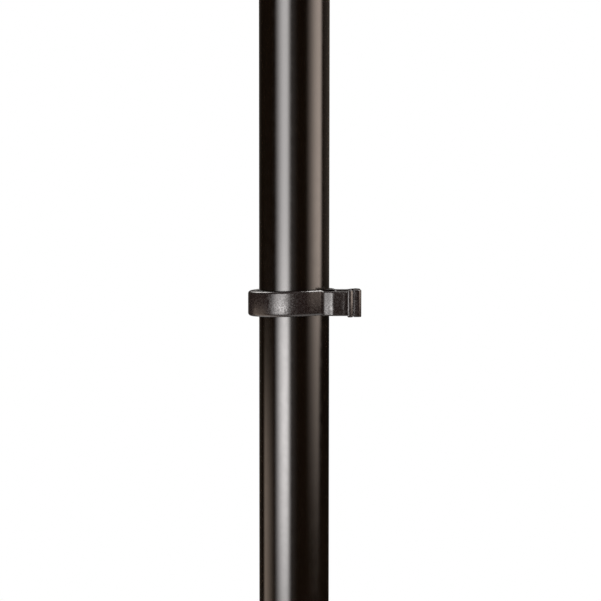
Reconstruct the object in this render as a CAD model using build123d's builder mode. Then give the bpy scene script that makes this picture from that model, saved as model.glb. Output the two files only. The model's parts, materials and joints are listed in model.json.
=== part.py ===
"""A music stand on a folding three-legged base, with a push-on cable clip on its column.

The frame: +Z is up, the player stands at -Y, and the origin is on the floor below the column's
axis. Units are millimetres. Each piece is one STEP file named after the node.
"""

import os
from math import cos, radians, sin, tan

from build123d import *

# --- Column: the fixed lower tube -----------------------------------------------------------
COLUMN_R = 15.0
COLUMN_WALL = 1.5
COLUMN_BOTTOM = 54.0
COLUMN_TOP = 650.0
COLUMN_BORE_R = COLUMN_R - COLUMN_WALL

# --- Base: hub, three legs that swing down to fold ------------------------------------------
HUB_R = 24.0
HUB_BOTTOM = 46.0
HUB_TOP = 86.0
LEG_AZIMUTHS = (90.0, 210.0, 330.0)
PIVOT_R = 34.0  # from the column's axis to a leg's pivot
PIVOT_Z = 62.0
LEG_SLOPE = 10.0  # degrees below level
NOSE_R = 13.0  # the round end of the hub's arm, about the pivot
ARM_WIDTH = 26.0
SLOT_WIDTH = 12.0
SLOT_INNER_R = 25.5
STOP_GAP = 0.15
PIN_R = 3.0
PIN_HEAD_R = 5.0
PIN_HEAD = 1.6
RUNNING = 0.06  # radial clearance of a turning fit
TONGUE_HALF = 6.0
TONGUE_WIDTH = 11.6
SHOULDER_AT = 23.0
TUBE_AT = 26.0
PLUG_LENGTH = 26.0  # of the hinge end inside the leg's tube
LEG_R = 9.0
LEG_WALL = 1.5
LEG_END = 300.0  # from the pivot to the tube's outer end
LEG_RIVET_AT = 38.0
LEG_RIVET_R = 2.0
FOOT_R = 12.0
FOOT_FROM = 268.0
FOOT_TO = 306.0
GROOVES = 3  # in each foot and in the collar
GROOVE_PITCH = 5.0

# --- Base fasteners --------------------------------------------------------------------------
INSERT_TOP = 74.0
BOLT_R = 4.0
BOLT_HEAD_AF = 13.0
BOLT_HEAD = 5.3
BOLT_TIP = 70.0
WASHER_R = 8.0
WASHER = 1.6
GRUB_AZIMUTH = 150.0
GRUB_R = 3.0
GRUB_Z = 72.0

# --- Height clamp at the column's top -------------------------------------------------------
COLLAR_R = 20.0
COLLAR_BOTTOM = 628.0
COLLAR_TOP = 690.0
COLLAR_BORE_R = 14.0
CLAMP_Z = 668.0
CLAMP_BOSS_R = 11.0
CLAMP_BOSS_END = 36.0
PAD_R = 5.0
PAD_TIP = 12.15
SCREW_TIP = 16.6
SCREW_IN_KNOB = 14.0
BUSH_FLANGE_R = 18.0
BUSH_FLANGE = 3.0
BUSH_SLIT = 2.0

# --- Mast: the sliding upper tube, and its head ---------------------------------------------
MAST_R = 12.0
MAST_WALL = 1.2
MAST_BOTTOM = 340.0
MAST_TOP = 965.0
MAST_BORE_R = MAST_R - MAST_WALL
GUIDE_R = COLUMN_BORE_R - 0.1
GUIDE_BOTTOM = 326.0
GUIDE_SHOULDER = MAST_BOTTOM - 0.3
GUIDE_SPIGOT_TOP = 362.0
HEAD_R = 16.0
HEAD_BOTTOM = 938.0
HEAD_TOP = 980.0
TILT_Z = 1008.0
HEAD_TONGUE_HALF = 6.0
HEAD_TONGUE_R = 9.0
HEAD_PIN_Z = 952.0
HEAD_PIN_R = 2.5

# --- Desk, leaned back from upright ----------------------------------------------------------
DESK_LEAN = 20.0
DESK_WIDTH = 500.0
DESK_BOTTOM = -150.0  # along the desk, from the tilt axis
DESK_TOP = 190.0
SHEET = 1.2
DESK_FRONT = 37.0  # the plate's front face, in front of the tilt axis
DESK_RIM = 8.0
DESK_TOP_CORNER = 28.0
DESK_LOW_CORNER = 6.0
VENT_ROWS = (-105.0, -65.0, 62.0, 102.0, 142.0)
VENT_PITCH = 72.0
VENTS_IN_ROW = 6
VENT_LENGTH = 50.0
VENT_HEIGHT = 9.0
SHELF_HALF = 230.0
SHELF_FRONT = DESK_FRONT + 50.4
SHELF_DROP = 0.6  # from the plate's lower edge to the shelf's floor
SHELF_LIP_TOP = -138.0
SHELF_FLANGE_TOP = -126.0
HAT_HALF = 20.0
HAT_FLANGE = 12.0
HAT_BACK = DESK_FRONT - 11.2
HAT_LENGTH_HALF = 180.0
RIVET_R = 2.0
RIVET_HEAD_R = 3.8
RIVET_HEAD = 1.6
BRACKET = 3.0
BRACKET_HALF = (30.0, 17.0)
EAR_INNER = 8.0
EAR_R = 11.0
BRACKET_SCREW_AT = (21.0, 10.5)
M5_R = 2.5
M5_HEAD_R = 4.4
M5_HEAD = 2.8
M5_END = HAT_BACK + 5.7
M5_NUT_AF = 8.0
M5_NUT = 4.0
TILT_BOLT_R = 4.0
TILT_BOLT_END = 27.0

# --- Cable clip -------------------------------------------------------------------------------
CLIP_Z = 470.3
CLIP_HEIGHT = 10.7
CLIP_WALL = 2.7
CLIP_RING_TILT = 2.1  # degrees, its +X side up: the ring is askew on the column, its tab and gate are level
CLIP_RING_X = -0.35  # the ring's play puts its centre to one side of the column's axis
CLIP_RING_R = 17.05  # of the wall's middle
CLIP_LOOP_DEG = 45.0  # where the closed end leaves the ring, each side of -X
CLIP_LOOP_RUN = 2.35
CLIP_REAR_DEG = 9.0
CLIP_FLAT_DEG = 65.0  # the ring's front runs straight from here to the neck
CLIP_FLAT_RUN = 4.5
CLIP_TAB_HEIGHT = 10.3
CLIP_TAB_WALL = 2.2
CLIP_TAB_FACET = (12.7, -13.34)  # the tab runs straight from here to its bend
CLIP_TAB_BEND = (16.68, -12.3)
CLIP_TAB_BEND_R = 2.6
CLIP_TAB_BEND_DEG = 24.5
CLIP_TAB_KINK = (20.4, -14.7)
CLIP_TAB_GROOVE = (21.4, -14.78)
CLIP_TAB_END = (23.6, -14.2)
CLIP_BEAD_LEFT = 22.42
CLIP_BEAD_RIGHT = 24.75
CLIP_BEAD_FRONT = -16.3
CLIP_BEAD_BACK = -13.1
CLIP_BEAD_CUT = (1.02, 0.92)  # off its right front edge
CLIP_BEAD_ROUND = 0.45
CLIP_BEAD_HEIGHT = 11.4
CLIP_GATE_X = 26.8
CLIP_GATE_Y = 0.5
CLIP_GATE_END = -12.2
CLIP_GATE_WALL = 2.9
CLIP_GATE_HEIGHT = 11.2
CLIP_NOSE_LEFT = 24.9
CLIP_NOSE_FRONT = -14.8
CLIP_NOSE_BACK = -10.6
CLIP_NOSE_R = 1.6

os.makedirs("parts", exist_ok=True)


def write(builder, name):
    """Labels a finished piece and writes it to its STEP file."""
    builder.part.label = name
    export_step(builder.part, f"parts/{name}.step")


def side_plane(azimuth):
    """The upright plane through the column's axis: local x points out, local y points up."""
    a = radians(azimuth)
    return Plane(origin=(0, 0, 0), x_dir=(cos(a), sin(a), 0), z_dir=(sin(a), -cos(a), 0))


def leg_side_plane(azimuth):
    """A plane at a leg's pivot: local x runs along the leg, local y is its upper side."""
    a, b = radians(azimuth), radians(LEG_SLOPE)
    pivot = (PIVOT_R * cos(a), PIVOT_R * sin(a), PIVOT_Z)
    along = (cos(a) * cos(b), sin(a) * cos(b), -sin(b))
    return Plane(origin=pivot, x_dir=along, z_dir=(sin(a), -cos(a), 0))


def leg_section_plane(azimuth, distance):
    """A plane square to a leg, at that distance from its pivot: local x points sideways."""
    side = leg_side_plane(azimuth)
    return Plane(origin=side.origin, x_dir=side.z_dir, z_dir=side.x_dir).offset(distance)


GRUB_SIDE = side_plane(GRUB_AZIMUTH)
# Square to the grub screw, at the column's axis.
GRUB_PLANE = Plane(origin=(0, 0, GRUB_Z), x_dir=GRUB_SIDE.z_dir, z_dir=GRUB_SIDE.x_dir)
LEAN = radians(DESK_LEAN)
# Local x is the stand's X, local y runs up the desk, and the offset is towards the player.
DESK_FACE = Plane(origin=(0, 0, TILT_Z), x_dir=(1, 0, 0), z_dir=(0, -cos(LEAN), sin(LEAN)))
# Local x runs towards the player and local y up the desk, for profiles drawn along the X axis.
DESK_SIDE = Plane(origin=(0, 0, TILT_Z), x_dir=(0, -cos(LEAN), sin(LEAN)), z_dir=(-1, 0, 0))


# === Column ===================================================================================
with BuildPart() as column_tube:
    with BuildSketch(Plane.XY.offset(COLUMN_BOTTOM)):
        Circle(COLUMN_R)
        Circle(COLUMN_BORE_R, mode=Mode.SUBTRACT)
    extrude(amount=COLUMN_TOP - COLUMN_BOTTOM)
    chamfer(column_tube.edges().group_by(Axis.Z)[-1].sort_by(SortBy.RADIUS)[-1], 0.5)
write(column_tube, "column_tube")

with BuildPart() as column_insert:
    with BuildSketch(Plane.XY.offset(COLUMN_BOTTOM)):
        Circle(COLUMN_BORE_R)
        Circle(BOLT_R, mode=Mode.SUBTRACT)
    extrude(amount=INSERT_TOP - COLUMN_BOTTOM)
write(column_insert, "column_insert")

# === Base hub =================================================================================
with BuildPart() as base_hub:
    with BuildSketch(Plane.XY.offset(HUB_BOTTOM)):
        Circle(HUB_R)
    extrude(amount=HUB_TOP - HUB_BOTTOM)
    fillet(base_hub.edges().group_by(Axis.Z)[-1], 4.0)
    for azimuth in LEG_AZIMUTHS:
        with BuildSketch(side_plane(azimuth)):
            with Locations((PIVOT_R / 2, PIVOT_Z)):
                Rectangle(PIVOT_R, 2 * NOSE_R)
            with Locations((PIVOT_R, PIVOT_Z)):
                Circle(NOSE_R)
        extrude(amount=ARM_WIDTH / 2, both=True)
    round_edges = base_hub.edges().filter_by(GeomType.CIRCLE)
    chamfer([e for e in round_edges if abs(e.radius - NOSE_R) < 0.001], 1.0)
    for azimuth in LEG_AZIMUTHS:
        # The slot is open below and at its end. Its sloping roof is the stop of the open leg.
        slope = radians(LEG_SLOPE)
        roof = PIVOT_Z + (TONGUE_HALF + STOP_GAP) / cos(slope)
        outer = PIVOT_R + 2 * NOSE_R
        with BuildSketch(side_plane(azimuth)):
            with BuildLine():
                Polyline(
                    (SLOT_INNER_R, roof + (PIVOT_R - SLOT_INNER_R) * sin(slope) / cos(slope)),
                    (outer, roof - (outer - PIVOT_R) * sin(slope) / cos(slope)),
                    (outer, HUB_BOTTOM - 10),
                    (SLOT_INNER_R, HUB_BOTTOM - 10),
                    close=True,
                )
            make_face()
        extrude(amount=SLOT_WIDTH / 2, both=True, mode=Mode.SUBTRACT)
        with BuildSketch(side_plane(azimuth)):
            with Locations((PIVOT_R, PIVOT_Z)):
                Circle(PIN_R)
        extrude(amount=ARM_WIDTH, both=True, mode=Mode.SUBTRACT)
    with BuildSketch(Plane.XY.offset(COLUMN_BOTTOM)):
        Circle(COLUMN_R)
    extrude(amount=HUB_TOP - COLUMN_BOTTOM, mode=Mode.SUBTRACT)
    with BuildSketch(Plane.XY.offset(HUB_BOTTOM)):
        Circle(BOLT_R + 0.2)
    extrude(amount=COLUMN_BOTTOM - HUB_BOTTOM, mode=Mode.SUBTRACT)
    with BuildSketch(GRUB_PLANE):
        Circle(GRUB_R)
    extrude(amount=HUB_R + 1, mode=Mode.SUBTRACT)
write(base_hub, "base_hub")

with BuildPart() as hub_grub_screw:
    with BuildSketch(GRUB_PLANE.offset(COLUMN_R)):
        Circle(GRUB_R)
    extrude(amount=HUB_R - COLUMN_R - 0.6)
    with BuildSketch(GRUB_PLANE.offset(HUB_R - 0.6)):
        RegularPolygon(1.7, 6)
    extrude(amount=-3.0, mode=Mode.SUBTRACT)
write(hub_grub_screw, "hub_grub_screw")

with BuildPart() as hub_washer:
    with BuildSketch(Plane.XY.offset(HUB_BOTTOM - WASHER)):
        Circle(WASHER_R)
        Circle(BOLT_R + 0.2, mode=Mode.SUBTRACT)
    extrude(amount=WASHER)
write(hub_washer, "hub_washer")

with BuildPart() as hub_bolt:
    with BuildSketch(Plane.XY.offset(HUB_BOTTOM - WASHER - BOLT_HEAD)):
        RegularPolygon(BOLT_HEAD_AF / 2, 6, major_radius=False)
    extrude(amount=BOLT_HEAD)
    with BuildSketch(Plane.XY.offset(HUB_BOTTOM - WASHER)):
        Circle(BOLT_R)
    extrude(amount=BOLT_TIP - HUB_BOTTOM + WASHER)
    chamfer(hub_bolt.edges().group_by(Axis.Z)[-1], 0.8)
write(hub_bolt, "hub_bolt")

with BuildPart() as leg_pins:
    for azimuth in LEG_AZIMUTHS:
        with BuildSketch(side_plane(azimuth)):
            with Locations((PIVOT_R, PIVOT_Z)):
                Circle(PIN_R)
        extrude(amount=ARM_WIDTH / 2, both=True)
        for side in (-1, 1):
            with BuildSketch(side_plane(azimuth).offset(side * ARM_WIDTH / 2)):
                with Locations((PIVOT_R, PIVOT_Z)):
                    Circle(PIN_HEAD_R)
            extrude(amount=side * PIN_HEAD, taper=12)
write(leg_pins, "leg_pins")

# === Legs =====================================================================================
for number, azimuth in enumerate(LEG_AZIMUTHS, start=1):
    with BuildPart() as hinge_end:
        with BuildSketch(leg_side_plane(azimuth)):
            Circle(TONGUE_HALF)
            with Locations((SHOULDER_AT / 2, 0)):
                Rectangle(SHOULDER_AT, 2 * TONGUE_HALF)
        extrude(amount=TONGUE_WIDTH / 2, both=True)
        with BuildSketch(leg_section_plane(azimuth, SHOULDER_AT)):
            Circle(LEG_R)
        extrude(amount=TUBE_AT - SHOULDER_AT)
        with BuildSketch(leg_section_plane(azimuth, TUBE_AT)):
            Circle(LEG_R - LEG_WALL)
        extrude(amount=PLUG_LENGTH)
        with BuildSketch(leg_side_plane(azimuth)):
            Circle(PIN_R + RUNNING)
            with Locations((LEG_RIVET_AT, 0)):
                Circle(LEG_RIVET_R)
        extrude(amount=2 * LEG_R, both=True, mode=Mode.SUBTRACT)
    write(hinge_end, f"leg_{number}_hinge_end")

    with BuildPart() as leg_tube:
        with BuildSketch(leg_section_plane(azimuth, TUBE_AT)):
            Circle(LEG_R)
            Circle(LEG_R - LEG_WALL, mode=Mode.SUBTRACT)
        extrude(amount=LEG_END - TUBE_AT)
        with BuildSketch(leg_side_plane(azimuth)):
            with Locations((LEG_RIVET_AT, 0)):
                Circle(LEG_RIVET_R)
        extrude(amount=2 * LEG_R, both=True, mode=Mode.SUBTRACT)
    write(leg_tube, f"leg_{number}_tube")

    with BuildPart() as leg_rivet:
        with BuildSketch(leg_side_plane(azimuth)):
            with Locations((LEG_RIVET_AT, 0)):
                Circle(LEG_RIVET_R)
        extrude(amount=LEG_R + 0.4, both=True)
    write(leg_rivet, f"leg_{number}_rivet")

    with BuildPart() as leg_foot:
        with BuildSketch(leg_section_plane(azimuth, FOOT_FROM)):
            Circle(FOOT_R)
        extrude(amount=FOOT_TO - FOOT_FROM)
        along = Axis((0, 0, 0), tuple(leg_side_plane(azimuth).x_dir))
        fillet(leg_foot.edges().sort_by(along)[-1], 4.0)
        chamfer(leg_foot.edges().sort_by(along)[0], 1.5)
        for groove in range(GROOVES):
            with BuildSketch(leg_section_plane(azimuth, FOOT_FROM + GROOVE_PITCH * (groove + 1))):
                Circle(FOOT_R + 1)
                Circle(FOOT_R - 0.6, mode=Mode.SUBTRACT)
            extrude(amount=1.5, mode=Mode.SUBTRACT)
        with BuildSketch(leg_section_plane(azimuth, FOOT_FROM)):
            Circle(LEG_R)
        extrude(amount=LEG_END - FOOT_FROM, mode=Mode.SUBTRACT)
        split(bisect_by=Plane.XY, keep=Keep.TOP)
    write(leg_foot, f"leg_{number}_foot")


# === Height clamp =============================================================================
def side_bore(radius, start, end):
    """A round bore from the clamp's side, along +X at the clamp screw's height."""
    with BuildSketch(Plane.YZ.offset(start)) as bore:
        with Locations((0, CLAMP_Z)):
            Circle(radius)
    extrude(bore.sketch, amount=end - start, mode=Mode.SUBTRACT)


with BuildPart() as height_collar:
    with BuildSketch(Plane.XY.offset(COLLAR_BOTTOM)):
        Circle(COLLAR_R)
    extrude(amount=COLLAR_TOP - COLLAR_BOTTOM)
    fillet(height_collar.edges().group_by(Axis.Z)[-1], 1.5)
    chamfer(height_collar.edges().group_by(Axis.Z)[0], 2.0)
    with BuildSketch(Plane.YZ):
        with Locations((0, CLAMP_Z)):
            Circle(CLAMP_BOSS_R)
    extrude(amount=CLAMP_BOSS_END)
    chamfer(height_collar.edges().sort_by(Axis.X)[-1], 1.2)
    for groove in range(GROOVES):
        with BuildSketch(Plane.XY.offset(COLLAR_BOTTOM + 7 + GROOVE_PITCH * groove)):
            Circle(COLLAR_R + 1)
            Circle(COLLAR_R - 0.7, mode=Mode.SUBTRACT)
        extrude(amount=1.6, mode=Mode.SUBTRACT)
    with BuildSketch(Plane.XY.offset(COLLAR_BOTTOM)):
        Circle(COLUMN_R)
    extrude(amount=COLUMN_TOP - COLLAR_BOTTOM, mode=Mode.SUBTRACT)
    with BuildSketch(Plane.XY.offset(COLUMN_TOP)):
        Circle(COLLAR_BORE_R)
    extrude(amount=COLLAR_TOP - COLUMN_TOP, mode=Mode.SUBTRACT)
    side_bore(PAD_R, 0, SCREW_TIP + 0.1)
    side_bore(BOLT_R + RUNNING, 0, CLAMP_BOSS_END)
write(height_collar, "height_collar")

with BuildPart() as mast_bush:
    with BuildSketch(Plane.XY.offset(COLUMN_TOP)):
        Circle(COLLAR_BORE_R)
    extrude(amount=COLLAR_TOP - COLUMN_TOP)
    with BuildSketch(Plane.XY.offset(COLLAR_TOP)):
        Circle(BUSH_FLANGE_R)
    extrude(amount=BUSH_FLANGE)
    fillet(mast_bush.edges().group_by(Axis.Z)[-1], 1.2)
    with BuildSketch(Plane.XY.offset(COLUMN_TOP)):
        Circle(MAST_R + RUNNING)
        with Locations((0, COLLAR_R / 2)):
            Rectangle(BUSH_SLIT, COLLAR_R)
    extrude(amount=COLLAR_TOP - COLUMN_TOP + BUSH_FLANGE, mode=Mode.SUBTRACT)
    side_bore(PAD_R, 0, COLLAR_R)
write(mast_bush, "mast_bush")

with BuildPart() as brake_pad:
    with BuildSketch(Plane.YZ.offset(PAD_TIP)):
        with Locations((0, CLAMP_Z)):
            Circle(PAD_R)
    extrude(amount=SCREW_TIP - 0.1 - PAD_TIP)
write(brake_pad, "brake_pad")


def star_knob(axis_z, start, neck_r, neck, grip_r, lobe_r, grip):
    """A five-lobed grip on a neck, on an axis along +X at that height. Call it in a BuildPart."""
    with BuildSketch(Plane.YZ.offset(start)) as collar:
        with Locations((0, axis_z)):
            Circle(neck_r)
    extrude(collar.sketch, amount=neck)
    with BuildSketch(Plane.YZ.offset(start + neck)) as outline:
        with Locations((0, axis_z)):
            Circle(grip_r)
            with PolarLocations(grip_r, 5):
                Circle(lobe_r)
        fillet(outline.vertices(), 2.5)
    extrude(outline.sketch, amount=grip)
    end = start + neck + grip
    fillet(edges().filter_by_position(Axis.X, end - 0.01, end + 0.01), 2.2)


KNOB_START = CLAMP_BOSS_END + 0.6
with BuildPart() as height_knob:
    star_knob(CLAMP_Z, KNOB_START, 8.0, 4.0, 13.5, 6.0, 15.0)
    side_bore(BOLT_R, KNOB_START, KNOB_START + SCREW_IN_KNOB)
write(height_knob, "height_knob")

with BuildPart() as height_screw:
    with BuildSketch(Plane.YZ.offset(SCREW_TIP)):
        with Locations((0, CLAMP_Z)):
            Circle(BOLT_R)
    extrude(amount=KNOB_START + SCREW_IN_KNOB - SCREW_TIP)
    chamfer(height_screw.edges().sort_by(Axis.X)[0], 0.8)
write(height_screw, "height_screw")

# === Mast and head ============================================================================
with BuildPart() as mast_tube:
    with BuildSketch(Plane.XY.offset(MAST_BOTTOM)):
        Circle(MAST_R)
        Circle(MAST_BORE_R, mode=Mode.SUBTRACT)
    extrude(amount=MAST_TOP - MAST_BOTTOM)
    with BuildSketch(Plane.XZ):
        with Locations((0, HEAD_PIN_Z)):
            Circle(HEAD_PIN_R)
    extrude(amount=2 * MAST_R, both=True, mode=Mode.SUBTRACT)
write(mast_tube, "mast_tube")

with BuildPart() as mast_guide:
    with BuildSketch(Plane.XY.offset(GUIDE_BOTTOM)):
        Circle(GUIDE_R)
    extrude(amount=GUIDE_SHOULDER - GUIDE_BOTTOM)
    chamfer(mast_guide.edges().group_by(Axis.Z)[0], 1.0)
    with BuildSketch(Plane.XY.offset(GUIDE_SHOULDER)):
        Circle(MAST_BORE_R - RUNNING)
    extrude(amount=GUIDE_SPIGOT_TOP - GUIDE_SHOULDER)
write(mast_guide, "mast_guide")

with BuildPart() as head_socket:
    with BuildSketch(Plane.XY.offset(HEAD_BOTTOM)):
        Circle(HEAD_R)
    extrude(amount=HEAD_TOP - HEAD_BOTTOM)
    fillet(head_socket.edges().group_by(Axis.Z)[-1], 4.0)
    chamfer(head_socket.edges().group_by(Axis.Z)[0], 1.5)
    with BuildSketch(Plane.YZ):
        with Locations((0, (HEAD_TOP - 8 + TILT_Z) / 2)):
            Rectangle(2 * HEAD_TONGUE_R, TILT_Z - HEAD_TOP + 8)
        with Locations((0, TILT_Z)):
            Circle(HEAD_TONGUE_R)
    extrude(amount=HEAD_TONGUE_HALF, both=True)
    with BuildSketch(Plane.YZ):
        with Locations((0, TILT_Z)):
            Circle(TILT_BOLT_R + RUNNING)
    extrude(amount=2 * HEAD_TONGUE_HALF, both=True, mode=Mode.SUBTRACT)
    with BuildSketch(Plane.XY.offset(HEAD_BOTTOM)):
        Circle(MAST_R)
    extrude(amount=MAST_TOP - HEAD_BOTTOM, mode=Mode.SUBTRACT)
    with BuildSketch(Plane.XZ):
        with Locations((0, HEAD_PIN_Z)):
            Circle(HEAD_PIN_R)
    extrude(amount=2 * HEAD_R, both=True, mode=Mode.SUBTRACT)
write(head_socket, "head_socket")

with BuildPart() as head_pin:
    with BuildSketch(Plane.XZ):
        with Locations((0, HEAD_PIN_Z)):
            Circle(HEAD_PIN_R)
    extrude(amount=HEAD_R, both=True)
write(head_pin, "head_pin")

# === Desk =====================================================================================
SHELF_RIVETS = [(x, SHELF_FLANGE_TOP - 8.0) for x in (-200, -100, 0, 100, 200)]
HAT_RIVETS = [(x, s * (HAT_HALF + HAT_FLANGE / 2)) for x in (-160, -60, 60, 160) for s in (-1, 1)]


def rivet_holes(places):
    """Holes for rivets or screws through the desk's sheets. Call it in a BuildPart."""
    with BuildSketch(DESK_FACE) as holes:
        with Locations(*places):
            Circle(RIVET_R)
    extrude(holes.sketch, amount=2 * DESK_FRONT, mode=Mode.SUBTRACT)


with BuildPart() as desk_plate:
    with BuildSketch(DESK_FACE.offset(DESK_FRONT - DESK_RIM)) as outer:
        with Locations((0, (DESK_TOP + DESK_BOTTOM) / 2)):
            Rectangle(DESK_WIDTH, DESK_TOP - DESK_BOTTOM)
        fillet(outer.vertices().group_by(Axis.Y)[-1], DESK_TOP_CORNER)
        fillet(outer.vertices().group_by(Axis.Y)[0], DESK_LOW_CORNER)
    extrude(amount=DESK_RIM)
    front_edges = desk_plate.edges().group_by(Axis((0, 0, 0), tuple(DESK_FACE.z_dir)))[-1]
    fillet(front_edges, 1.0)
    # The pan is open at the bottom, where the shelf's flange comes up inside it.
    with BuildSketch(DESK_FACE.offset(DESK_FRONT - DESK_RIM)) as inner:
        with Locations((0, (DESK_TOP + DESK_BOTTOM) / 2 - SHEET - 5)):
            Rectangle(DESK_WIDTH - 2 * SHEET, DESK_TOP - DESK_BOTTOM + 10)
        fillet(inner.vertices().group_by(Axis.Y)[-1], DESK_TOP_CORNER - SHEET)
    extrude(amount=DESK_RIM - SHEET, mode=Mode.SUBTRACT)
    with BuildSketch(DESK_FACE.offset(DESK_FRONT - DESK_RIM)):
        for row in VENT_ROWS:
            with Locations((0, row)):
                with GridLocations(VENT_PITCH, VENT_PITCH, VENTS_IN_ROW, 1):
                    SlotOverall(VENT_LENGTH, VENT_HEIGHT)
    extrude(amount=DESK_RIM, mode=Mode.SUBTRACT)
    rivet_holes(SHELF_RIVETS + HAT_RIVETS)
write(desk_plate, "desk_plate")

SHELF_MID = DESK_BOTTOM - SHELF_DROP - SHEET / 2
FLANGE_MID = DESK_FRONT - SHEET - SHEET / 2
with BuildPart() as desk_shelf:
    with BuildSketch(DESK_SIDE):
        with BuildLine() as bent:
            FilletPolyline(
                (FLANGE_MID, SHELF_FLANGE_TOP),
                (FLANGE_MID, SHELF_MID),
                (SHELF_FRONT, SHELF_MID),
                (SHELF_FRONT, SHELF_LIP_TOP),
                radius=[SHELF_DROP + SHEET / 2, 2.5],
            )
        trace(line_width=SHEET)
    extrude(amount=SHELF_HALF, both=True)
    rivet_holes(SHELF_RIVETS)
write(desk_shelf, "desk_shelf")

with BuildPart() as shelf_trim:
    with BuildSketch(DESK_SIDE):
        with Locations((SHELF_FRONT, SHELF_LIP_TOP - 3)):
            RectangleRounded(4.4, 10.0, 2.0)
        with Locations((SHELF_FRONT, SHELF_LIP_TOP - 10)):
            Rectangle(SHEET, 20.0, mode=Mode.SUBTRACT)
    extrude(amount=SHELF_HALF, both=True)
write(shelf_trim, "shelf_trim")


def rivets(places):
    """Rivets flush with the plate's front, with a round head behind the sheets."""
    back = DESK_FRONT - 2 * SHEET
    with BuildSketch(DESK_FACE.offset(back)) as shanks:
        with Locations(*places):
            Circle(RIVET_R)
    extrude(shanks.sketch, amount=2 * SHEET)
    with BuildSketch(DESK_FACE.offset(back)) as heads:
        with Locations(*places):
            Circle(RIVET_HEAD_R)
    extrude(heads.sketch, amount=-RIVET_HEAD, taper=15)


with BuildPart() as shelf_rivets:
    rivets(SHELF_RIVETS)
write(shelf_rivets, "shelf_rivets")

with BuildPart() as stiffener_rivets:
    rivets(HAT_RIVETS)
write(stiffener_rivets, "stiffener_rivets")


def bracket_bores():
    """The four bores of the bracket's screws. Call it in a BuildPart."""
    with BuildSketch(DESK_FACE) as bores:
        with GridLocations(2 * BRACKET_SCREW_AT[0], 2 * BRACKET_SCREW_AT[1], 2, 2):
            Circle(M5_R)
    extrude(bores.sketch, amount=HAT_BACK + 2 * SHEET, mode=Mode.SUBTRACT)


HAT_MID = HAT_BACK + SHEET / 2
with BuildPart() as desk_stiffener:
    with BuildSketch(DESK_SIDE):
        with BuildLine() as hat:
            FilletPolyline(
                (FLANGE_MID, -HAT_HALF - HAT_FLANGE),
                (FLANGE_MID, -HAT_HALF),
                (HAT_MID, -HAT_HALF),
                (HAT_MID, HAT_HALF),
                (FLANGE_MID, HAT_HALF),
                (FLANGE_MID, HAT_HALF + HAT_FLANGE),
                radius=1.5,
            )
        trace(line_width=SHEET)
    extrude(amount=HAT_LENGTH_HALF, both=True)
    rivet_holes(HAT_RIVETS)
    bracket_bores()
write(desk_stiffener, "desk_stiffener")

with BuildPart() as tilt_bracket:
    with BuildSketch(DESK_FACE.offset(HAT_BACK - BRACKET)):
        RectangleRounded(2 * BRACKET_HALF[0], 2 * BRACKET_HALF[1], 5.0)
    extrude(amount=BRACKET)
    for side in (-1, 1):
        with BuildSketch(DESK_SIDE.offset(side * EAR_INNER)):
            with Locations(((HAT_BACK - 1) / 2, 0)):
                Rectangle(HAT_BACK - 1, 2 * EAR_R)
            Circle(EAR_R)
        extrude(amount=side * BRACKET)
    with BuildSketch(DESK_SIDE):
        Circle(TILT_BOLT_R)
    extrude(amount=2 * EAR_INNER, both=True, mode=Mode.SUBTRACT)
    bracket_bores()
write(tilt_bracket, "tilt_bracket")

with BuildPart() as bracket_screws:
    with BuildSketch(DESK_FACE.offset(HAT_BACK - BRACKET)):
        with GridLocations(2 * BRACKET_SCREW_AT[0], 2 * BRACKET_SCREW_AT[1], 2, 2):
            Circle(M5_R)
    extrude(amount=M5_END - HAT_BACK + BRACKET)
    with BuildSketch(DESK_FACE.offset(HAT_BACK - BRACKET)):
        with GridLocations(2 * BRACKET_SCREW_AT[0], 2 * BRACKET_SCREW_AT[1], 2, 2):
            Circle(M5_HEAD_R)
    extrude(amount=-M5_HEAD, taper=8)
    with BuildSketch(DESK_FACE.offset(HAT_BACK - BRACKET - M5_HEAD)):
        with GridLocations(2 * BRACKET_SCREW_AT[0], 2 * BRACKET_SCREW_AT[1], 2, 2):
            RegularPolygon(1.7, 6)
    extrude(amount=M5_HEAD * 0.7, mode=Mode.SUBTRACT)
write(bracket_screws, "bracket_screws")

with BuildPart() as bracket_nuts:
    with BuildSketch(DESK_FACE.offset(HAT_BACK + SHEET)):
        with GridLocations(2 * BRACKET_SCREW_AT[0], 2 * BRACKET_SCREW_AT[1], 2, 2):
            RegularPolygon(M5_NUT_AF / 2, 6, major_radius=False)
            Circle(M5_R, mode=Mode.SUBTRACT)
    extrude(amount=M5_NUT)
write(bracket_nuts, "bracket_nuts")

# === Tilt pivot ===============================================================================
EAR_OUTER = EAR_INNER + BRACKET
TILT_HEAD_R = 8.5  # of the bolt's head and of the washer under the knob
TILT_HEAD = 4.0
FRICTION_R = 9.0
FRICTION_GAP = 0.1  # between each friction washer and the head's tongue
TILT_WASHER = 1.4
TILT_KNOB_START = EAR_OUTER + 1.5
TILT_INSERT_R = 6.0
TILT_INSERT = 15.2


def on_tilt_axis(start):
    """The plane square to the tilt axis at that X."""
    return Plane(origin=(start, 0, TILT_Z), x_dir=(0, 1, 0), z_dir=(1, 0, 0))


with BuildPart() as tilt_bolt:
    with BuildSketch(on_tilt_axis(-EAR_OUTER)):
        Circle(TILT_BOLT_R)
    extrude(amount=EAR_OUTER + TILT_BOLT_END)
    with BuildSketch(on_tilt_axis(-EAR_OUTER)):
        Circle(TILT_HEAD_R)
    extrude(amount=-TILT_HEAD)
    fillet(tilt_bolt.edges().sort_by(Axis.X)[0], 3.0)
write(tilt_bolt, "tilt_bolt")

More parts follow.
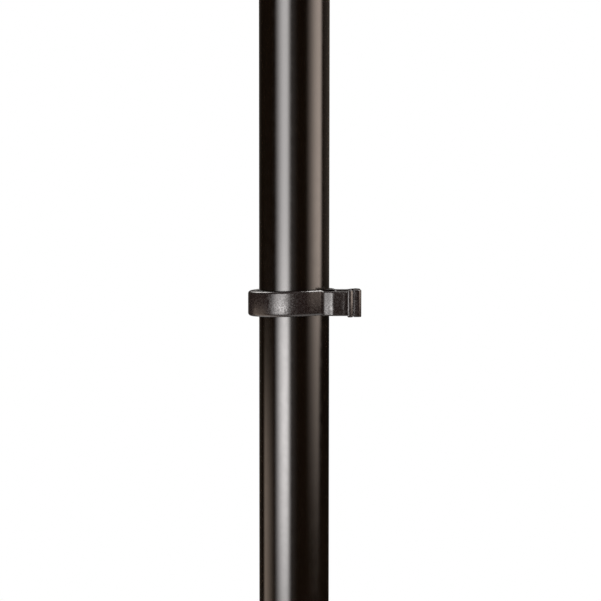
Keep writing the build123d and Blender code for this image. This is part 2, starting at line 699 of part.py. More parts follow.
with BuildPart() as friction_washers:
    for side in (-1, 1):
        with BuildSketch(on_tilt_axis(side * (HEAD_TONGUE_HALF + FRICTION_GAP))):
            Circle(FRICTION_R)
            Circle(TILT_BOLT_R, mode=Mode.SUBTRACT)
        extrude(amount=side * (EAR_INNER - HEAD_TONGUE_HALF - FRICTION_GAP))
write(friction_washers, "friction_washers")

with BuildPart() as tilt_washer:
    with BuildSketch(on_tilt_axis(EAR_OUTER)):
        Circle(TILT_HEAD_R)
        Circle(TILT_BOLT_R, mode=Mode.SUBTRACT)
    extrude(amount=TILT_WASHER)
write(tilt_washer, "tilt_washer")

with BuildPart() as tilt_knob:
    star_knob(TILT_Z, TILT_KNOB_START, 9.0, 4.0, 12.5, 5.5, 14.0)
    with BuildSketch(on_tilt_axis(TILT_KNOB_START)):
        Circle(TILT_INSERT_R)
    extrude(amount=TILT_INSERT, mode=Mode.SUBTRACT)
write(tilt_knob, "tilt_knob")

with BuildPart() as tilt_knob_insert:
    with BuildSketch(on_tilt_axis(TILT_KNOB_START)):
        Circle(TILT_INSERT_R)
        Circle(TILT_BOLT_R + RUNNING, mode=Mode.SUBTRACT)
    extrude(amount=TILT_INSERT)
write(tilt_knob_insert, "tilt_knob_insert")


# === Cable clip ===============================================================================
# Seen from above, the band bends round the column from a closed end at -X. The front side runs
# straight to a neck at the column's right, flares out again and ends in a bead. The rear side hugs
# the column as far as its right-hand side, and runs out and forward as the gate, beside the bead.
def on_ring(side, angle):
    """A point on the ring's middle line at an angle from +X, on the rear (1) or the front (-1)."""
    a = radians(angle)
    return (CLIP_RING_X + CLIP_RING_R * cos(a), side * CLIP_RING_R * sin(a))


def on_loop(side, angle):
    """A point on the closed end's middle line at an angle from -X, on the rear (1) or the front (-1)."""
    turn = radians(CLIP_LOOP_DEG)
    a = radians(angle)
    radius = CLIP_RING_R - CLIP_LOOP_RUN / tan(turn)
    return (CLIP_RING_X - CLIP_LOOP_RUN / sin(turn) - radius * cos(a), side * radius * sin(a))


def ring_half(side, start_deg, end_deg):
    """The middle line of one half of the ring, from the closed end to an angle from +X."""
    leave_deg = 180 - CLIP_LOOP_DEG
    middle_deg = (start_deg + CLIP_LOOP_DEG) / 2
    ThreePointArc(on_loop(side, start_deg), on_loop(side, middle_deg), on_loop(side, CLIP_LOOP_DEG))
    Line(on_loop(side, CLIP_LOOP_DEG), on_ring(side, leave_deg))
    ThreePointArc(on_ring(side, leave_deg), on_ring(side, (leave_deg + end_deg) / 2), on_ring(side, end_deg))


def clip_level(height, tilt_deg):
    """The underside of a clip feature of that height, centred on the clip."""
    tilt = radians(tilt_deg)
    middle = Plane(origin=(0, 0, CLIP_Z), x_dir=(cos(tilt), 0, sin(tilt)), z_dir=(-sin(tilt), 0, cos(tilt)))
    return middle.offset(-height / 2)


def clear_column():
    """Cuts the column's own space out of a piece of the clip."""
    with BuildSketch(clip_level(2 * CLIP_HEIGHT, CLIP_RING_TILT)) as bore:
        with Locations((CLIP_RING_X, 0)):
            Circle(CLIP_RING_R - CLIP_WALL / 2)
    extrude(bore.sketch, amount=2 * CLIP_HEIGHT, mode=Mode.SUBTRACT)


with BuildPart() as cable_clip:
    with BuildSketch(clip_level(CLIP_HEIGHT, CLIP_RING_TILT)):
        with BuildLine():
            ring_half(1, 0, CLIP_REAR_DEG)
        trace(line_width=CLIP_WALL)
    extrude(amount=CLIP_HEIGHT)
    with BuildSketch(clip_level(CLIP_GATE_HEIGHT, 0)):
        with BuildLine():
            FilletPolyline(
                on_ring(1, CLIP_REAR_DEG),
                (CLIP_RING_X + CLIP_RING_R + 0.15, CLIP_GATE_Y),
                (CLIP_GATE_X, CLIP_GATE_Y),
                (CLIP_GATE_X, CLIP_GATE_END),
                radius=[1.5, 3.0],
            )
        trace(line_width=CLIP_GATE_WALL)
    extrude(amount=CLIP_GATE_HEIGHT)
    nose_right = CLIP_GATE_X + CLIP_GATE_WALL / 2
    with BuildSketch(clip_level(CLIP_GATE_HEIGHT, 0)) as nose:
        Polygon(
            (CLIP_NOSE_LEFT, CLIP_NOSE_FRONT),
            (nose_right, CLIP_NOSE_FRONT),
            (nose_right, CLIP_NOSE_BACK),
            (CLIP_NOSE_LEFT, CLIP_NOSE_BACK),
            align=None,
        )
        fillet(nose.vertices().group_by(Axis.Y)[0].sort_by(Axis.X)[-1], CLIP_NOSE_R)
    extrude(amount=CLIP_GATE_HEIGHT)
    clear_column()
write(cable_clip, "cable_clip")

flat_end = on_ring(-1, CLIP_FLAT_DEG)
flat_turn = radians(CLIP_FLAT_DEG)
neck = (flat_end[0] + CLIP_FLAT_RUN * sin(flat_turn), flat_end[1] + CLIP_FLAT_RUN * cos(flat_turn))
with BuildPart() as cable_clip_arm:
    with BuildSketch(clip_level(CLIP_HEIGHT, CLIP_RING_TILT)):
        with BuildLine():
            ring_half(-1, 0.4, CLIP_FLAT_DEG)
            Line(flat_end, neck)
        trace(line_width=CLIP_WALL)
        with Locations(neck):
            Circle(CLIP_WALL / 2)
    extrude(amount=CLIP_HEIGHT)
    with BuildSketch(clip_level(CLIP_TAB_HEIGHT, 0)):
        with BuildLine():
            bend = CenterArc(CLIP_TAB_BEND, CLIP_TAB_BEND_R, -90 - CLIP_TAB_BEND_DEG, CLIP_TAB_BEND_DEG)
            Polyline(neck, CLIP_TAB_FACET, bend @ 0)
            Polyline(bend @ 1, CLIP_TAB_KINK, CLIP_TAB_GROOVE, CLIP_TAB_END)
        trace(line_width=CLIP_TAB_WALL)
        with Locations(CLIP_TAB_FACET, CLIP_TAB_KINK, CLIP_TAB_GROOVE):
            Circle(CLIP_TAB_WALL / 2)
    extrude(amount=CLIP_TAB_HEIGHT)
    with BuildSketch(clip_level(CLIP_BEAD_HEIGHT, 0)) as bead:
        Polygon(
            (CLIP_BEAD_LEFT, CLIP_BEAD_FRONT),
            (CLIP_BEAD_RIGHT - CLIP_BEAD_CUT[0], CLIP_BEAD_FRONT),
            (CLIP_BEAD_RIGHT, CLIP_BEAD_FRONT + CLIP_BEAD_CUT[1]),
            (CLIP_BEAD_RIGHT, CLIP_BEAD_BACK),
            (CLIP_BEAD_LEFT, CLIP_BEAD_BACK),
            align=None,
        )
        fillet(bead.vertices(), CLIP_BEAD_ROUND)
    extrude(amount=CLIP_BEAD_HEIGHT)
    clear_column()
write(cable_clip_arm, "cable_clip_arm")
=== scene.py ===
"""Looks for the music stand: materials, the moulded cable clip, light and camera."""

import json
from math import cos, pi, radians, sin, sqrt

import bpy
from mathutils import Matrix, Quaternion, Vector


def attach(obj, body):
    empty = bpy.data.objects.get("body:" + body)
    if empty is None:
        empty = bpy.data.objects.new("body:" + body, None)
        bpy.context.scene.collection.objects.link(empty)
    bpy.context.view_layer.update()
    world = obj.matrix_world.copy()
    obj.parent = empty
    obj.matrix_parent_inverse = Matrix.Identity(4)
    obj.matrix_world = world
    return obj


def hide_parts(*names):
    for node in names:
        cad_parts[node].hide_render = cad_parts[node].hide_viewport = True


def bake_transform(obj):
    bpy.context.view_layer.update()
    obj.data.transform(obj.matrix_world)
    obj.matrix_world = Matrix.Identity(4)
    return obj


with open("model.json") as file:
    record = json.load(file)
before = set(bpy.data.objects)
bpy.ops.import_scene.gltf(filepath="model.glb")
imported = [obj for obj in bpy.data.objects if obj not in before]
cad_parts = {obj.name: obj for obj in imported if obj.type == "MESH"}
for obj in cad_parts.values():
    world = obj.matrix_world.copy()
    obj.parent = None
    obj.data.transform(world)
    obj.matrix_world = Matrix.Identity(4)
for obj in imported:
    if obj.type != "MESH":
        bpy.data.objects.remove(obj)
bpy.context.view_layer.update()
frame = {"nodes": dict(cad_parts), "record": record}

MM = 0.001
CLIP_Z = 0.470

# --- Camera ------------------------------------------------------------------------------------
VIEW_WIDTH = 0.2572  # of the column's stretch that fills the picture
CAMERA_DISTANCE = 0.76
CAMERA_ELEVATION = 3.9  # degrees, as is the roll
CAMERA_ROLL = 0.04
CAMERA_AIM = Vector((0.0027, 0.0, CLIP_Z + 0.00065))
SENSOR = 36.0

# --- Light -------------------------------------------------------------------------------------
STEP_SLOPES = (-0.084, -0.056)  # between what the column reflects below the clip and above it
BOX_SLOPES = (-0.37, -0.128), (0.37, 0.69)  # of the left soft box: its lower and its upper edge
WARM = (1.0, 0.85, 0.7)
NEUTRAL = (1.0, 0.97, 0.94)

# --- Floor -------------------------------------------------------------------------------------
FLOOR_R = 1.25
FLOOR_SIDES = 96
FLOOR_DROP = 0.0006  # below the feet, so that the two don't coincide
FADE_FROM, FADE_TO = 0.45 * FLOOR_R, 0.98 * FLOOR_R


# === Node helpers ==============================================================================
class Graph:
    """Short names for building a node tree."""

    def __init__(self, tree):
        self.tree = tree
        tree.nodes.clear()

    def new(self, kind, **settings):
        node = self.tree.nodes.new(kind)
        for key, value in settings.items():
            setattr(node, key, value)
        return node

    def put(self, socket, value):
        if isinstance(value, bpy.types.NodeSocket):
            self.tree.links.new(value, socket)
        else:
            socket.default_value = value

    def fill(self, node, inputs):
        for name, value in inputs.items():
            self.put(node.inputs[name], value)

    def math(self, operation, *values):
        node = self.new("ShaderNodeMath", operation=operation)
        for socket, value in zip(node.inputs, values):
            self.put(socket, value)
        return node.outputs[0]

    def ramp(self, value, start, end, low=0.0, high=1.0):
        """A smooth step from low at start to high at end, where start is the smaller one."""
        node = self.new("ShaderNodeMapRange", interpolation_type="SMOOTHSTEP")
        inputs = {"Value": value, "From Min": start, "From Max": end, "To Min": low, "To Max": high}
        self.fill(node, inputs)
        return node.outputs[0]

    def band(self, value, rise, fall):
        """1 between the rise and the fall, each a pair of a start and an end."""
        return self.math("MULTIPLY", self.ramp(value, *rise), self.ramp(value, *fall, 1.0, 0.0))

    def product(self, first, *others):
        for other in others:
            first = self.math("MULTIPLY", first, other)
        return first

    def tinted(self, amount, tint):
        """A colour scaled by an amount."""
        node = self.new("ShaderNodeVectorMath", operation="SCALE")
        node.inputs[0].default_value = tint
        self.put(node.inputs["Scale"], amount)
        return node.outputs[0]

    def total(self, vectors):
        result = vectors[0]
        for v in vectors[1:]:
            node = self.new("ShaderNodeVectorMath", operation="ADD")
            self.put(node.inputs[0], result)
            self.put(node.inputs[1], v)
            result = node.outputs[0]
        return result

    def noise(self, vector, scale, detail=3.0):
        node = self.new("ShaderNodeTexNoise")
        self.fill(node, {"Vector": vector, "Scale": scale, "Detail": detail, "Roughness": 0.55})
        return node.outputs[0]


# === World ======================================================================================
def build_world():
    """White to the camera. To everything else, soft boxes in a dark studio over a pale floor.

    Around is in degrees about the stand from the camera's side, right positive, height is in degrees
    above the horizon, and slope is the height's tangent.
    """
    world = bpy.data.worlds.new("studio")
    bpy.context.scene.world = world
    world.use_nodes = True
    g = Graph(world.node_tree)
    xyz = g.new("ShaderNodeSeparateXYZ")
    g.put(xyz.inputs[0], g.new("ShaderNodeTexCoord").outputs["Generated"])
    x, y, z = xyz.outputs
    around = g.math("MULTIPLY", g.math("ARCTAN2", x, g.math("MULTIPLY", y, -1.0)), 180 / pi)
    level = g.math("SQRT", g.math("ADD", g.math("MULTIPLY", x, x), g.math("MULTIPLY", y, y)))
    slope = g.math("DIVIDE", z, g.math("MAXIMUM", level, 1e-4))
    height = g.math("MULTIPLY", g.math("ARCTAN2", z, level), 180 / pi)

    def light(strength, tint, *masks):
        return g.tinted(g.product(strength, *masks), tint)

    # The left soft box, its dim right-hand fringe, and the right soft box, narrower at its foot.
    left_box = light(17.5, (1.0, 0.965, 0.955), g.band(around, (-69, -31), (-27, -8)),
                     g.band(slope, *BOX_SLOPES), g.ramp(slope, *STEP_SLOPES, 1.0, 0.6))
    fringe = light(0.5, (1.0, 0.93, 0.88), g.band(around, (-30, -16), (-12, 14)),
                   g.band(slope, *BOX_SLOPES))
    narrowed = g.math("ADD", around, g.ramp(slope, -0.105, -0.049, 9.0, 0.0))
    right_box = light(6.0, (1.0, 0.83, 0.72), g.ramp(around, 36, 84), g.ramp(narrowed, 89, 108, 1.0, 0.0),
                      g.band(slope, (-0.225, -0.075), (0.5, 0.9)), g.ramp(slope, *STEP_SLOPES, 0.54, 1.0))

    # Weak lights beside and behind the stand, which reach the column's edges.
    right_edge = light(0.12, WARM, g.band(around, (104, 118), (170, 179)), g.ramp(slope, -0.081, -0.041))
    low_left = light(1.9, (1.0, 0.80, 0.65), g.band(around, (-124, -108), (-104, -62)),
                     g.ramp(slope, -0.184, -0.072, 1.0, 0.0))
    left_edge = light(0.06, WARM, g.ramp(around, -148, -136, 1.0, 0.0))

    # Two high lamps for the clip's upper edges, one for the desk's back, and the ceiling and floor.
    right_lamp = light(22.0, NEUTRAL, g.band(around, (60, 95), (126, 142)),
                       g.band(height, (46, 56), (80, 88)))
    left_lamp = light(9.0, NEUTRAL, g.band(around, (-165, -150), (-134, -120)),
                      g.band(height, (28, 36), (46, 56)))
    back_lamp = light(1.6, (1.0, 0.98, 0.96), g.ramp(g.math("ABSOLUTE", around), 120, 165),
                      g.band(height, (12, 34), (50, 66)))
    ceiling = light(1.3, (1.0, 0.98, 0.97), g.ramp(height, 55, 80))
    ground = light(1.5, (1.0, 0.97, 0.95), g.ramp(height, -50, -25, 1.0, 0.0))
    everywhere = light(0.012, (1.0, 0.8, 0.65))

    studio = g.new("ShaderNodeBackground")
    g.put(studio.inputs["Color"], g.total([
        left_box, fringe, right_box, low_left, right_edge, left_edge,
        right_lamp, left_lamp, back_lamp, ceiling, ground, everywhere,
    ]))
    white = g.new("ShaderNodeBackground")
    white.inputs["Color"].default_value = (1, 1, 1, 1)
    mix = g.new("ShaderNodeMixShader")
    g.put(mix.inputs[0], g.new("ShaderNodeLightPath").outputs["Is Camera Ray"])
    g.put(mix.inputs[1], studio.outputs[0])
    g.put(mix.inputs[2], white.outputs[0])
    out = g.new("ShaderNodeOutputWorld")
    g.put(out.inputs[0], mix.outputs[0])


# === Materials ==================================================================================
TUBE_PAINT = {
    "colour": (0.0028, 0.0016, 0.0009), "roughness": 0.14, "rough_spread": 0.015, "mottle": 90,
    "bumps": [(260, 0.000002)],
}
LOOKS = {
    "column_paint": TUBE_PAINT,
    "mast_paint": TUBE_PAINT,
    "desk_paint": {
        "colour": (0.007, 0.0066, 0.0062), "roughness": 0.36, "spread": 0.1, "rough_spread": 0.02,
        "mottle": 200, "bumps": [(1400, 0.000012), (3000, 0.000006)],
    },
    "cast_black": {
        "colour": (0.009, 0.0085, 0.008), "roughness": 0.42, "mottle": 70,
        "bumps": [(420, 0.00002), (1500, 0.00001)],
    },
    "zinc": {
        "colour": (0.55, 0.55, 0.54), "roughness": 0.3, "metallic": 1.0, "spread": 0.08, "mottle": 220,
        "bumps": [(1200, 0.000004)],
    },
    "rivet_steel": {
        "colour": (0.014, 0.014, 0.014), "roughness": 0.35, "mottle": 300, "bumps": [(1300, 0.000006)],
    },
    "brass_insert": {
        "colour": (0.78, 0.57, 0.25), "roughness": 0.28, "metallic": 1.0, "spread": 0.1, "mottle": 240,
        "bumps": [(900, 0.000004)],
    },
    "collar_plastic": {
        "colour": (0.013, 0.012, 0.012), "roughness": 0.46, "mottle": 120, "bumps": [(1500, 0.00001)],
    },
    "knob_plastic": {
        "colour": (0.012, 0.011, 0.011), "roughness": 0.42, "mottle": 140, "bumps": [(1600, 0.000012)],
    },
    "bush_plastic": {
        "colour": (0.022, 0.022, 0.023), "roughness": 0.5, "mottle": 160, "bumps": [(1500, 0.000008)],
    },
    "clip_plastic": {
        "colour": (0.009, 0.0062, 0.0058), "roughness": 0.24, "spread": 0.15, "rough_spread": 0.10,
        "mottle": 420, "bumps": [(900, 0.00005)],
    },
    "rubber_trim": {
        "colour": (0.012, 0.012, 0.012), "roughness": 0.7, "mottle": 150, "bumps": [(700, 0.00001)],
    },
    "foot_rubber": {
        "colour": (0.013, 0.013, 0.013), "roughness": 0.68, "mottle": 110,
        "bumps": [(500, 0.00002), (1700, 0.00001)],
    },
}
FINER = 3.1  # the roughness varies in patches that much smaller than the colour's


def surface(name, colour, roughness, bumps, metallic=0.0, spread=0.25, rough_spread=0.05, mottle=60.0):
    """A principled material whose colour and roughness vary a little, with layers of fine bumps.

    bumps are (noise scale, height in metres) pairs, from coarse to fine.
    """
    material = bpy.data.materials.new(name)
    material.use_nodes = True
    g = Graph(material.node_tree)
    place = g.new("ShaderNodeTexCoord").outputs["Object"]
    tone = g.new("ShaderNodeMix", data_type="RGBA")
    g.put(tone.inputs["Factor"], g.noise(place, mottle))
    dark, light = [socket for socket in tone.inputs if socket.type == "RGBA"]
    dark.default_value = (*[c * (1 - spread) for c in colour], 1)
    light.default_value = (*[c * (1 + spread) for c in colour], 1)
    [mottled] = [socket for socket in tone.outputs if socket.type == "RGBA"]
    shader = g.new("ShaderNodeBsdfPrincipled")
    patches = g.noise(place, mottle * FINER)
    g.fill(shader, {
        "Base Color": mottled,
        "Roughness": g.ramp(patches, 0.4, 0.6, roughness - rough_spread, roughness + rough_spread),
        "Metallic": metallic,
    })
    for scale, height in bumps:
        bump = g.new("ShaderNodeBump")
        g.fill(bump, {"Strength": 1.0, "Distance": height, "Height": g.noise(place, scale, 2.0)})
        if shader.inputs["Normal"].is_linked:
            g.put(bump.inputs["Normal"], shader.inputs["Normal"].links[0].from_socket)
        g.put(shader.inputs["Normal"], bump.outputs[0])
    out = g.new("ShaderNodeOutputMaterial")
    g.put(out.inputs[0], shader.outputs[0])
    return material


def dress(obj, material):
    """Gives an object one material."""
    obj.data.materials.clear()
    obj.data.materials.append(material)


# === Cable clip =================================================================================
# Lengths are in millimetres, in the clip's own frame: the column's axis is its origin, +Y is the back.
RING_RISE = 0.0367  # the ring climbs towards +X on upright walls; the tab and the gate are level
LEVELLING = 1.5  # and it levels out over this much past the neck
CLIP_RAISE = 0.3  # of the clip's middle above CLIP_Z
WALL = 2.7
MID_R = 17.05
RING_X = -0.35  # the ring's centre
LOOP_TURN = radians(45.0)  # where the closed end leaves the ring, each side of -X
LOOP_RUN = 2.35  # the straight between the ring and the closed end
FLAT_FROM = radians(65.0)  # the ring's front runs straight from here to the neck
FLAT_RUN = 4.5
REAR = radians(9.0)  # where the ring's rear meets the gate
RING_H, TAB_H, ARM_H, GATE_H, BEAD_H = 10.7, 10.3, 10.3, 11.2, 11.4
TAB_WALL, GATE_WALL = 2.2, 2.9
THINNING = 4  # steps of the path over which the ring turns into the tab
FACET_FROM = (12.7, -13.34)  # the tab runs straight from here to its bend
BEND_CENTRE, BEND_R, BEND_TURN = (16.68, -12.3), 2.6, radians(24.5)
TAB_KINK, TAB_GROOVE, TAB_END = (20.4, -14.7), (21.4, -14.78), (23.6, -14.2)
BEAD_LEFT, BEAD_RIGHT, BEAD_FRONT, BEAD_BACK = 22.42, 24.75, -16.3, -13.1
BEAD_R, BEAD_FLAT, BEAD_FLAT_DEG = 0.5, 0.95, 42.0  # its right front edge is cut off by a flat
GATE_X, GATE_Y, GATE_END = 26.8, 0.5, -12.2
GATE_ROOT, GATE_CORNER_R, GATE_BEND_R = 0.15, 1.5, 3.0  # its root stands that far outside the ring
GATE_GROWS_FROM, GATE_GROWS_OVER = 22.0, 4.0
NOSE_LEFT, NOSE_FRONT, NOSE_R, NOSE_SMALL_R = 24.9, -14.8, 1.6, 0.3
NOSE_PROUD = 0.04  # of the gate's side, and NOSE_TALLER of its ends, so that no faces coincide
NOSE_TALLER = 0.05
NECK_X = RING_X + MID_R * cos(FLAT_FROM) + FLAT_RUN * sin(FLAT_FROM)
LOOP_X, LOOP_R = RING_X - LOOP_RUN / sin(LOOP_TURN), MID_R - LOOP_RUN  # the closed end's centre and radius
EDGE, LOW_EDGE = 1.2, 1.3  # the rounds of the ring's upper and lower edges
TAB_EDGE, TAB_LOW_EDGE = 0.7, 0.6
GATE_EDGE, BEAD_EDGE, NOSE_EDGE = 0.5, 0.45, 0.28
ROUND_LIMIT = 0.96  # of half a wall, the largest round that it takes
STEP = 0.35  # between two points of a path
ROUND_STEPS = 5  # in a quarter turn of an edge


def arc(centre, radius, start, end):
    """Points of an arc, its ends given as angles in radians, about STEP apart."""
    count = max(2, int(abs(end - start) * radius / STEP))
    return [(centre[0] + radius * cos(start + (end - start) * i / count),
             centre[1] + radius * sin(start + (end - start) * i / count)) for i in range(count + 1)]


def straight(a, b):
    """Points of a straight run from a to b, about STEP apart."""
    count = max(1, int(sqrt((a[0] - b[0]) ** 2 + (a[1] - b[1]) ** 2) / STEP))
    return [(a[0] + (b[0] - a[0]) * i / count, a[1] + (b[1] - a[1]) * i / count) for i in range(count + 1)]


def chain(*parts):
    """Joins stretches of points, leaving out the doubled ones."""
    joined = []
    for part in parts:
        for p in part:
            if not joined or abs(p[0] - joined[-1][0]) + abs(p[1] - joined[-1][1]) > 1e-6:
                joined.append(p)
    return joined


def tangents(path):
    """The unit direction of a path at each of its points."""
    found = []
    for i in range(len(path)):
        a, b = path[max(i - 1, 0)], path[min(i + 1, len(path) - 1)]
        length = sqrt((b[0] - a[0]) ** 2 + (b[1] - a[1]) ** 2)
        found.append(((b[0] - a[0]) / length, (b[1] - a[1]) / length))
    return found


def ease(t):
    """A smooth step from 0 to 1."""
    t = min(max(t, 0.0), 1.0)
    return t * t * (3 - 2 * t)


def mixed(start, end, t):
    return start + (end - start) * t


def clip_place(p):
    """A point of the clip's own frame, in millimetres, in the stand's: level from the neck on."""
    rise = RING_RISE * p[0] * (1 - ease((p[0] - NECK_X) / LEVELLING))
    return Vector((p[0] * MM, p[1] * MM, CLIP_Z + (CLIP_RAISE + rise + p[2]) * MM))


def skin(name, rings, close_start):
    """An object of the clip through rings of points, closed at its end and, if asked, its start."""
    around = len(rings[0])
    faces = []
    for i in range(len(rings) - 1):
        for k in range(around):
            n = (k + 1) % around
            faces.append((i * around + k, i * around + n, (i + 1) * around + n, (i + 1) * around + k))
    if close_start:
        faces.append(tuple(reversed(range(around))))
    faces.append(tuple((len(rings) - 1) * around + k for k in range(around)))
    mesh = bpy.data.meshes.new(name)
    mesh.from_pydata([clip_place(p) for ring in rings for p in ring], [], faces)
    mesh.validate()
    for polygon in mesh.polygons:
        polygon.use_smooth = len(polygon.vertices) == 4
    obj = bpy.data.objects.new(name, mesh)
    bpy.context.scene.collection.objects.link(obj)
    return obj


def section(half_wall, half_height, top, low):
    """A rounded rectangle as (across, up) pairs, with its own round at the top and the bottom."""
    top, low = min(top, half_wall * ROUND_LIMIT), min(low, half_wall * ROUND_LIMIT)
    corners = [
        (half_wall - top, half_height - top, 0, top),
        (top - half_wall, half_height - top, 90, top),
        (low - half_wall, low - half_height, 180, low),
        (half_wall - low, low - half_height, 270, low),
    ]
    points = []
    for u, v, start, radius in corners:
        for k in range(ROUND_STEPS + 1):
            turn = radians(start + 90 * k / ROUND_STEPS)
            points.append((u + radius * cos(turn), v + radius * sin(turn)))
    return points


def sweep(name, path, profile):
    """A band along a path. profile(i) gives the half wall, half height and edge rounds there."""
    rings = []
    for i, (p, t) in enumerate(zip(path, tangents(path))):
        rings.append([(p[0] - t[1] * u, p[1] + t[0] * u, v) for u, v in section(*profile(i))])
    return skin(name, rings, close_start=False)


def post(name, half_height, corners, edge):
    """An upright post with rounded ends. corners are its outline's arcs: centre, radius and angles."""
    quarter = [pi / 2 * k / ROUND_STEPS for k in range(ROUND_STEPS + 1)]
    levels = [(edge * (1 - sin(a)), half_height - edge + edge * cos(a)) for a in quarter]
    levels = [(inset, -v) for inset, v in levels] + levels[::-1]
    rings = []
    for inset, v in levels:
        ring = []
        for x, y, radius, start, end in corners:
            for k in range(ROUND_STEPS + 1):
                turn = radians(mixed(start, end, k / ROUND_STEPS))
                ring.append((x + (radius - inset) * cos(turn), y + (radius - inset) * sin(turn), v))
        rings.append(ring)
    return skin(name, rings, close_start=True)


def build_band():
    """The ring and the tab, as one bent strip."""
    centre = (RING_X, 0)
    rear_side = arc(centre, MID_R, REAR, pi - LOOP_TURN)
    closed_end = arc((LOOP_X, 0), LOOP_R, pi - LOOP_TURN, pi + LOOP_TURN)
    front_side = arc(centre, MID_R, pi + LOOP_TURN, 2 * pi - FLAT_FROM)
    neck = (NECK_X, front_side[-1][1] + FLAT_RUN * cos(FLAT_FROM))
    ring = chain(rear_side, straight(rear_side[-1], closed_end[0]), closed_end,
                 straight(closed_end[-1], front_side[0]), front_side, straight(front_side[-1], neck))
    bend = arc(BEND_CENTRE, BEND_R, -pi / 2 - BEND_TURN, -pi / 2)
    tab = chain(straight(neck, FACET_FROM), straight(FACET_FROM, bend[0]), bend,
                straight(bend[-1], TAB_KINK), straight(TAB_KINK, TAB_GROOVE), straight(TAB_GROOVE, TAB_END))

    def profile(i):
        t = ease((i - len(ring) + 1) / THINNING)
        return (mixed(WALL, TAB_WALL, t) / 2, mixed(RING_H, TAB_H, t) / 2,
                mixed(EDGE, TAB_EDGE, t), mixed(LOW_EDGE, TAB_LOW_EDGE, t))

    return sweep("clip_band", chain(ring, tab), profile)


def build_gate():
    """The ring's rear end, turned out to the right and then forward."""
    root = RING_X + MID_R + GATE_ROOT
    corner, bend = root + GATE_CORNER_R, GATE_X - GATE_BEND_R
    path = chain(
        straight((RING_X + MID_R * cos(REAR), MID_R * sin(REAR)), (root, GATE_Y + GATE_CORNER_R)),
        arc((corner, GATE_Y + GATE_CORNER_R), GATE_CORNER_R, pi, 3 * pi / 2),
        straight((corner, GATE_Y), (bend, GATE_Y)),
        arc((bend, GATE_Y - GATE_BEND_R), GATE_BEND_R, pi / 2, 0),
        straight((GATE_X, GATE_Y - GATE_BEND_R), (GATE_X, GATE_END)),
    )

    def profile(i):
        tall = mixed(ARM_H, GATE_H, ease((path[i][0] - GATE_GROWS_FROM) / GATE_GROWS_OVER))
        return GATE_WALL / 2, tall / 2, GATE_EDGE, GATE_EDGE

    return sweep("clip_gate", path, profile)


def build_bead():
    """The post at the tab's end."""
    slant = radians(BEAD_FLAT_DEG)
    left, front = BEAD_LEFT + BEAD_R, BEAD_FRONT + BEAD_R
    right, back = BEAD_RIGHT - BEAD_R, BEAD_BACK - BEAD_R
    return post("clip_bead", BEAD_H / 2, [
        (left, front, BEAD_R, 180, 270),
        (right - BEAD_FLAT * cos(slant), front, BEAD_R, 270, 270 + BEAD_FLAT_DEG),
        (right, front + BEAD_FLAT * sin(slant), BEAD_R, 270 + BEAD_FLAT_DEG, 360),
        (right, back, BEAD_R, 0, 90),
        (left, back, BEAD_R, 90, 180),
    ], BEAD_EDGE)


def build_nose():
    """The gate's thicker end, rounded at its right front."""
    left, right = NOSE_LEFT + NOSE_SMALL_R, GATE_X + GATE_WALL / 2 + NOSE_PROUD
    back = GATE_END + NOSE_R
    return post("clip_nose", GATE_H / 2 + NOSE_TALLER, [
        (left, NOSE_FRONT + NOSE_SMALL_R, NOSE_SMALL_R, 180, 270),
        (right - NOSE_R, NOSE_FRONT + NOSE_R, NOSE_R, 270, 360),
        (right - NOSE_SMALL_R, back, NOSE_SMALL_R, 0, 90),
        (left, back, NOSE_SMALL_R, 90, 180),
    ], NOSE_EDGE)


def build_clip(material):
    """One moulding, built as band, gate, nose and bead: the gate and the nose ride on the clip, the bead on
    its arm, and the CAD clip is hidden.
    """
    band, gate, bead, nose = build_band(), build_gate(), build_bead(), build_nose()
    for obj in (band, gate, bead, nose):
        dress(obj, material)
    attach(gate, "clip")
    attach(nose, "clip")
    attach(bead, "clip_arm")
    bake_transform(band)
    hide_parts("cable_clip")
    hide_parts("cable_clip_arm")


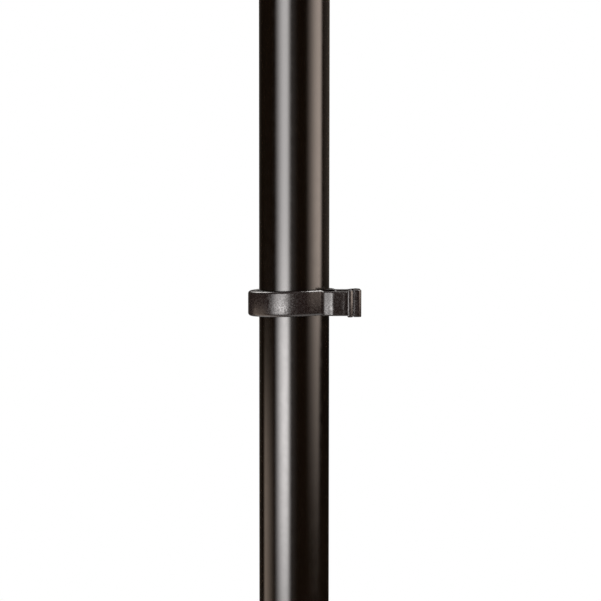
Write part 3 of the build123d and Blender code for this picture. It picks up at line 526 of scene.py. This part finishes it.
# === Floor ======================================================================================
def build_floor():
    """A pale disc that fades out at its edge."""
    material = bpy.data.materials.new("floor")
    material.use_nodes = True
    g = Graph(material.node_tree)
    centre = g.new("ShaderNodeVectorMath", operation="LENGTH")
    g.put(centre.inputs[0], g.new("ShaderNodeTexCoord").outputs["Object"])
    shader = g.new("ShaderNodeBsdfPrincipled")
    g.fill(shader, {
        "Base Color": (0.8, 0.79, 0.78, 1),
        "Roughness": 0.8,
        "Specular IOR Level": 0.2,
        "Alpha": g.ramp(centre.outputs["Value"], FADE_FROM, FADE_TO, 1.0, 0.0),
    })
    out = g.new("ShaderNodeOutputMaterial")
    g.put(out.inputs[0], shader.outputs[0])
    turns = [2 * pi * k / FLOOR_SIDES for k in range(FLOOR_SIDES)]
    rim = [(FLOOR_R * cos(turn), FLOOR_R * sin(turn), 0) for turn in turns]
    mesh = bpy.data.meshes.new("floor")
    mesh.from_pydata(rim, [], [tuple(range(FLOOR_SIDES))])
    floor = bpy.data.objects.new("floor", mesh)
    bpy.context.scene.collection.objects.link(floor)
    floor.location.z = -FLOOR_DROP
    floor.visible_glossy = False
    dress(floor, material)


# === Camera =====================================================================================
def build_camera():
    """A camera that sees VIEW_WIDTH at its aim, from CAMERA_DISTANCE away."""
    data = bpy.data.cameras.new("camera")
    data.sensor_width = SENSOR
    data.lens = SENSOR / 2 / (VIEW_WIDTH / 2 / CAMERA_DISTANCE)
    data.clip_start = 0.01
    data.clip_end = 100
    camera = bpy.data.objects.new("camera", data)
    bpy.context.scene.collection.objects.link(camera)
    tilt = radians(CAMERA_ELEVATION)
    back = Vector((0, -cos(tilt), sin(tilt)))
    camera.location = CAMERA_AIM + back * CAMERA_DISTANCE
    camera.rotation_mode = "QUATERNION"
    roll = Quaternion(back, radians(CAMERA_ROLL))
    camera.rotation_quaternion = roll @ (-back).to_track_quat("-Z", "Y")
    bpy.context.scene.camera = camera


materials = {name: surface(name, **look) for name, look in LOOKS.items()}
slots = {row["node"]: row["material_slot"] for row in frame["record"]["subparts"]}
for node, obj in frame["nodes"].items():
    dress(obj, materials[slots[node]])
    for polygon in obj.data.polygons:
        polygon.use_smooth = True
build_clip(materials["clip_plastic"])
build_floor()
build_world()
build_camera()
bpy.context.scene.view_settings.view_transform = "Standard"
